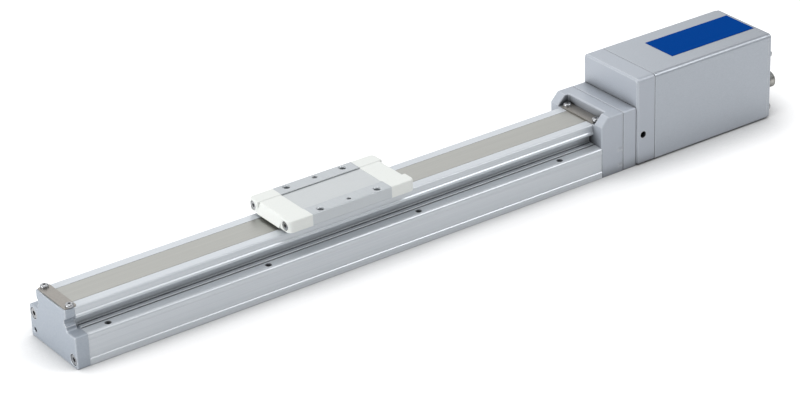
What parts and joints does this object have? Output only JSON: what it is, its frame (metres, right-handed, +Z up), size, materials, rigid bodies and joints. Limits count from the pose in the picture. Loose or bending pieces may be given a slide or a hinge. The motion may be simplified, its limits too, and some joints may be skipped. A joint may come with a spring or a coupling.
{
  "type": "electric linear actuator",
  "caption": "Slim ball-screw slider: a slotted rail closed by a steel band, a sliding table with white end caps, and a motor with its controller at one end.",
  "frame": {"origin": "on the base plane, in the middle of the four outer body mounting holes", "axes": "+X along the stroke towards the motor, +Y across the body to the back, +Z up from the base through the table"},
  "size_m": [0.5862, 0.0596, 0.0666],
  "materials": {
    "rail_aluminium": "satin anodised",
    "cast_aluminium": "satin paint on a casting",
    "block_aluminium": "fine matt anodised",
    "cover_aluminium": "fine matt anodised",
    "table_aluminium": "satin anodised",
    "panel_aluminium": "brushed, satin",
    "carriage_aluminium": "machined",
    "white_resin": "fine matt moulding",
    "band_steel": "rolled stainless strip",
    "stopper_steel": "plated sheet",
    "screw_steel": "zinc plated",
    "bearing_steel": "ground",
    "hub_aluminium": "turned",
    "elastic_spider": "matt",
    "bumper_rubber": "matt",
    "magnet_strip": "matt ferrite rubber",
    "guide_resin": "matt moulding",
    "felt": "pressed felt",
    "bell_aluminium": "die cast",
    "lamination_steel": "black satin",
    "rotor_steel": "ground",
    "circuit_board": "solder resist",
    "standoff_brass": "turned",
    "nickel_brass": "nickel plated",
    "black_insert": "matt moulding",
    "blue_panel": "printed film"
  },
  "bodies": {
    "body": {"rail": "rail_aluminium", "band_magnet_strips": "magnet_strip", "guide_rail": "bearing_steel", "guide_rail_screws": "screw_steel", "end_plate": "cast_aluminium", "end_plate_screws": "screw_steel", "end_bearing": "bearing_steel", "seal_band": "band_steel", "band_stopper_left": "stopper_steel", "band_stopper_right": "stopper_steel", "band_stopper_screws": "screw_steel", "bearing_block": "block_aluminium", "rail_to_block_screws": "screw_steel", "fixed_bearings": "bearing_steel", "bearing_retainer": "bearing_steel", "bearing_retainer_screws": "screw_steel", "coupling_housing": "block_aluminium", "motor_flange": "block_aluminium", "housing_screws": "screw_steel", "motor_screws": "screw_steel", "motor_cover": "cover_aluminium", "rear_cover": "cover_aluminium", "tie_screws": "screw_steel", "power_connector": "nickel_brass", "signal_connector": "nickel_brass", "connector_inserts": "black_insert", "label_panel": "blue_panel", "controller_board": "circuit_board", "board_standoffs": "standoff_brass", "motor_front_bell": "bell_aluminium", "motor_stator": "lamination_steel", "motor_rear_bell": "bell_aluminium", "encoder_board": "circuit_board", "stroke_bumpers": "bumper_rubber"},
    "screw": {"ball_screw": "bearing_steel", "coupling_screw_hub": "hub_aluminium", "coupling_spider": "elastic_spider", "coupling_motor_hub": "hub_aluminium", "motor_rotor": "rotor_steel", "encoder_magnet": "rotor_steel", "bearing_lock_nut": "bearing_steel"},
    "table": {"table_block": "table_aluminium", "carriage": "carriage_aluminium", "carriage_screws": "screw_steel", "guide_blocks": "bearing_steel", "guide_block_screws": "screw_steel", "ball_nut": "bearing_steel", "ball_nut_screws": "screw_steel", "table_cap_left": "white_resin", "table_cap_right": "white_resin", "table_cap_screws": "screw_steel", "table_panel": "panel_aluminium", "band_guides": "guide_resin", "band_wipers": "felt"}
  },
  "joints": [
    {"name": "table_slide", "type": "slide", "parent": "body", "child": "table", "axis": [1, 0, 0], "range_m": [-0.153, 0.153], "deforming": ["seal_band"]},
    {"name": "screw_spin", "type": "hinge", "parent": "body", "child": "screw", "pos_m": [0, 0, 0.023], "axis": [1, 0, 0], "range_deg": [-4591, 4591]}
  ],
  "couplings": [
    {"joint": "screw_spin", "follows": "table_slide", "rad_per_m": -523.6}
  ]
}
